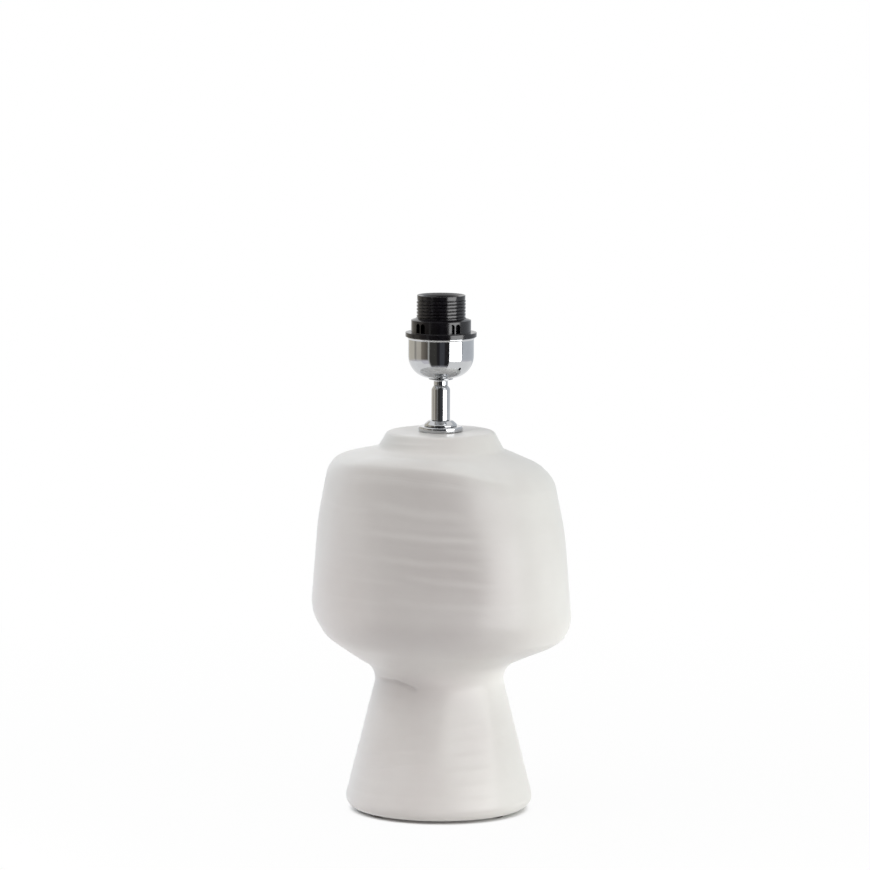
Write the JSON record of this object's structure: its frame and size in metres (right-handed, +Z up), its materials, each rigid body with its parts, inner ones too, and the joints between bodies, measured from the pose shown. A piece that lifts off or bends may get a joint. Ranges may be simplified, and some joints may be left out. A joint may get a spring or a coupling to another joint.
{
  "type": "table lamp base",
  "caption": "Table lamp base: hollow glazed ceramic body with a conical foot and a leaning rounded block, a chromed stack, and a black lamp holder with an outside thread and a shade ring.",
  "frame": {"origin": "on the table top, under the middle of the foot and on the axis of the threaded tube", "axes": "+Z up along the threaded tube, -Y the front as pictured, +X the side that the block leans down to, +Y the side where the cable leaves"},
  "size_m": [0.2122, 0.2122, 0.423],
  "materials": {
    "glazed_body": "warm white satin glaze",
    "felt": "dark brown pressed felt",
    "soft_rubber": "black, matte",
    "zinc_steel": "zinc plated",
    "chrome": "polished chrome plate",
    "black_plastic": "black thermoplastic, semi-gloss",
    "steatite": "unglazed pale technical ceramic",
    "brass": "plain",
    "nickelled_copper": "nickel plated copper alloy"
  },
  "bodies": {
    "lamp": {"ceramic_body": "glazed_body", "felt_pad_front_left": "felt", "felt_pad_front_right": "felt", "felt_pad_rear_right": "felt", "felt_pad_rear_left": "felt", "cable_bush": "soft_rubber", "threaded_tube": "zinc_steel", "steel_washer": "zinc_steel", "lock_washer": "zinc_steel", "lock_nut": "zinc_steel", "rubber_gasket": "soft_rubber", "rosette": "chrome", "seat_dome": "chrome", "spacer_tube": "chrome", "neck_collar": "chrome", "holder_cup": "chrome", "holder_cap": "black_plastic", "grub_screw": "zinc_steel", "contact_carrier": "steatite", "live_rivet": "brass", "neutral_rivet": "brass", "live_terminal": "brass", "live_terminal_screw": "zinc_steel", "neutral_terminal": "brass", "neutral_terminal_screw": "zinc_steel", "screw_shell": "nickelled_copper", "holder_shell": "black_plastic"},
    "shade_ring": {"shade_ring": "black_plastic"},
    "centre_contact": {"centre_contact": "nickelled_copper"}
  },
  "joints": [
    {"name": "shade_ring_unscrews", "type": "slide", "parent": "lamp", "child": "shade_ring", "axis": [0, 0, 1], "range_m": [0, 0.036]},
    {"name": "centre_contact_springs", "type": "hinge", "parent": "lamp", "child": "centre_contact", "pos_m": [-0.0072, 0, 0.3894], "axis": [0, 1, 0], "range_deg": [0, 6], "stiffness_Nm_per_rad": 0.1}
  ]
}
